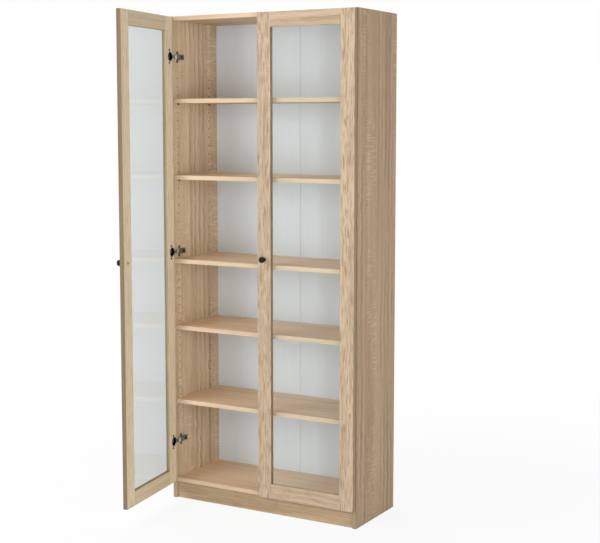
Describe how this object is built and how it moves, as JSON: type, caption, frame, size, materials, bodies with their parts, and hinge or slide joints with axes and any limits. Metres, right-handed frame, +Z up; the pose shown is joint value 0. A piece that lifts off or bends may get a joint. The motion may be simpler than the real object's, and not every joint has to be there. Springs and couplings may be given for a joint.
{
  "type": "bookcase with glass doors",
  "caption": "Tall oak-effect bookcase on a plinth, with adjustable shelves and a pale back behind framed clear-glass doors on concealed hinges.",
  "frame": {"origin": "on the floor, midway along the plinth board and in the middle of its thickness", "axes": "+Z up, +X to the right when facing the doors, +Y from the doors to the back"},
  "size_m": [0.8, 0.7082, 1.869],
  "materials": {
    "oak_melamine": "oak-effect melamine, matt",
    "oak_frame": "oak-effect foil, matt",
    "white_hardboard": "white lacquered hardboard",
    "white_tape": "matt",
    "clear_glass": "clear float glass",
    "nickel_steel": "nickel-plated steel",
    "black_steel": "black phosphated steel",
    "zinc_steel": "zinc-plated steel",
    "black_knob": "black powder coat, satin",
    "beech": "fluted beech dowel",
    "clear_pad": "clear soft plastic"
  },
  "bodies": {
    "case": {"side_panel_left": "oak_melamine", "side_panel_right": "oak_melamine", "top_panel": "oak_melamine", "middle_shelf": "oak_melamine", "bottom_panel": "oak_melamine", "adjustable_shelf_1": "oak_melamine", "adjustable_shelf_2": "oak_melamine", "adjustable_shelf_3": "oak_melamine", "adjustable_shelf_4": "oak_melamine", "plinth": "oak_melamine", "back_leaf_left": "white_hardboard", "back_leaf_right": "white_hardboard", "back_tape": "white_tape", "back_nails": "zinc_steel", "case_dowels": "beech", "cam_bolts": "zinc_steel", "cam_locks": "zinc_steel", "shelf_supports": "nickel_steel", "wall_brackets": "zinc_steel", "bracket_screws": "zinc_steel", "hinge_arms_left": "nickel_steel", "hinge_plates_left": "nickel_steel", "plate_screws_left": "nickel_steel", "arm_screws_left": "black_steel", "hinge_arms_right": "nickel_steel", "hinge_plates_right": "nickel_steel", "plate_screws_right": "nickel_steel", "arm_screws_right": "black_steel"},
    "left_door": {"left_door_hinge_stile": "oak_frame", "left_door_meeting_stile": "oak_frame", "left_door_top_rail": "oak_frame", "left_door_bottom_rail": "oak_frame", "left_door_glass_pane": "clear_glass", "left_door_frame_dowels": "beech", "left_door_bumper_pads": "clear_pad", "left_door_knob": "black_knob", "left_door_knob_screw": "zinc_steel", "left_door_hinge_cups": "nickel_steel", "left_door_hinge_pins": "nickel_steel", "left_door_cup_screws": "nickel_steel"},
    "right_door": {"right_door_hinge_stile": "oak_frame", "right_door_meeting_stile": "oak_frame", "right_door_top_rail": "oak_frame", "right_door_bottom_rail": "oak_frame", "right_door_glass_pane": "clear_glass", "right_door_frame_dowels": "beech", "right_door_bumper_pads": "clear_pad", "right_door_knob": "black_knob", "right_door_knob_screw": "zinc_steel", "right_door_hinge_cups": "nickel_steel", "right_door_hinge_pins": "nickel_steel", "right_door_cup_screws": "nickel_steel"}
  },
  "joints": [
    {"name": "left_door_hinge", "type": "hinge", "parent": "case", "child": "left_door", "pos_m": [-0.39033, -0.029, 0.9575], "axis": [0, 0, -1], "range_deg": [-81, 19]},
    {"name": "right_door_hinge", "type": "hinge", "parent": "case", "child": "right_door", "pos_m": [0.39033, -0.029, 0.9575], "axis": [0, 0, 1], "range_deg": [0, 100]}
  ]
}
